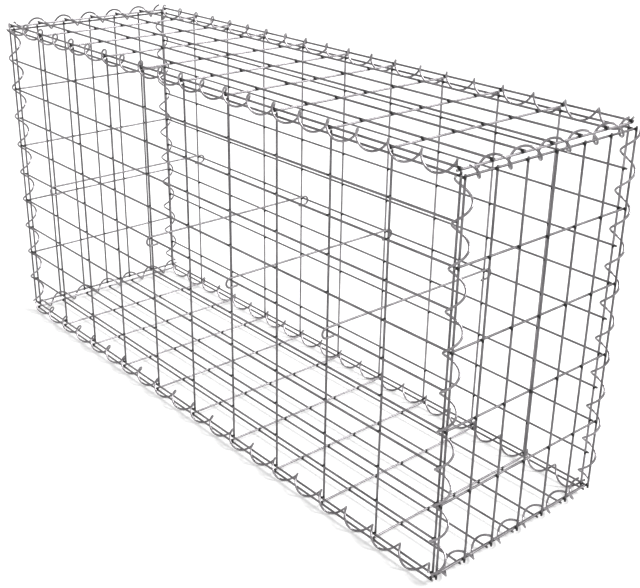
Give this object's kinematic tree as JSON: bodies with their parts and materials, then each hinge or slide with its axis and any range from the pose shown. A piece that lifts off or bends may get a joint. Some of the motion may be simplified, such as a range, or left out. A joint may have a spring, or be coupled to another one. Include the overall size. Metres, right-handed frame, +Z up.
{
  "type": "gabion basket",
  "caption": "Empty welded-mesh gabion basket with a closed lid, its panels laced along every edge by wire spirals and held by cross ties.",
  "frame": {"origin": "on the ground under the middle of the basket", "axes": "+X along the basket, -Y out of the front panel, +Z up"},
  "size_m": [1.0346, 0.3186, 0.533],
  "materials": {
    "mesh_wire": "dull galvanised steel wire",
    "spiral_wire": "bright galvanised steel wire",
    "tie_wire": "galvanised steel wire"
  },
  "bodies": {
    "root": {"front_panel": "mesh_wire", "back_panel": "mesh_wire", "left_end_panel": "mesh_wire", "right_end_panel": "mesh_wire", "lid_panel": "mesh_wire", "base_panel": "mesh_wire", "front_top_spiral": "spiral_wire", "front_bottom_spiral": "spiral_wire", "back_top_spiral": "spiral_wire", "back_bottom_spiral": "spiral_wire", "left_top_spiral": "spiral_wire", "left_bottom_spiral": "spiral_wire", "right_top_spiral": "spiral_wire", "right_bottom_spiral": "spiral_wire", "front_left_spiral": "spiral_wire", "front_right_spiral": "spiral_wire", "back_left_spiral": "spiral_wire", "back_right_spiral": "spiral_wire", "cross_tie_1": "tie_wire", "cross_tie_2": "tie_wire", "cross_tie_3": "tie_wire", "cross_tie_4": "tie_wire"}
  },
  "joints": []
}
